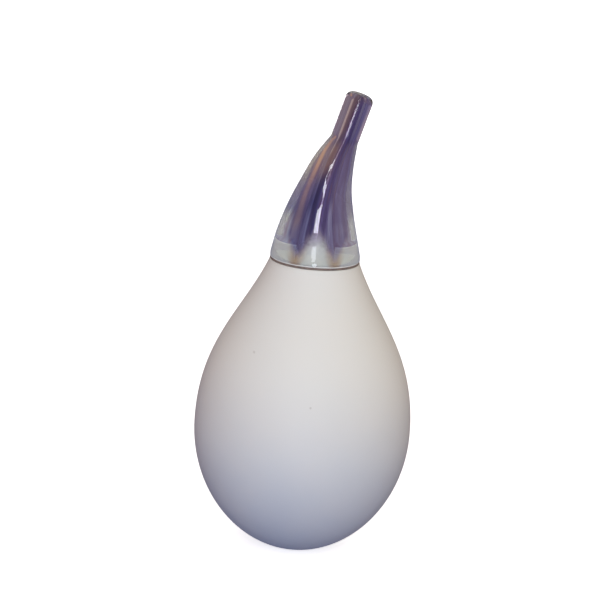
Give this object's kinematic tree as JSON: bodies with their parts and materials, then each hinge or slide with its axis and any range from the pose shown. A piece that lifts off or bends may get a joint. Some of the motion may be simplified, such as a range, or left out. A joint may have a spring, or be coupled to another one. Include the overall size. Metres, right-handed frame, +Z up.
{
  "type": "dust blower bulb",
  "caption": "Pear-shaped soft squeeze bulb with a bent clear nozzle that blows a thin jet of air to clear dust.",
  "frame": {"origin": "centre of the bulb's small flat base", "axes": "+Z up the bulb's axis towards the neck, +X the way the nozzle bends"},
  "size_m": [0.0526, 0.0526, 0.1131],
  "materials": {
    "soft_silicone": "matte, slightly translucent",
    "dark_rubber": "matte",
    "clear_plastic": "clear, polished"
  },
  "bodies": {
    "bulb": {"bulb": "soft_silicone"},
    "neck_seat": {"seal_ring": "dark_rubber"},
    "nozzle": {"nozzle": "clear_plastic"}
  },
  "joints": [
    {"name": "bulb_squeeze", "type": "slide", "parent": "bulb", "child": "neck_seat", "axis": [0, 0, -1], "range_m": [0, 0.018], "stiffness_N_per_m": 300, "deforming": ["bulb"]},
    {"name": "nozzle_turn", "type": "hinge", "parent": "neck_seat", "child": "nozzle", "pos_m": [0, 0, 0.0721], "axis": [0, 0, 1], "continuous": true}
  ]
}
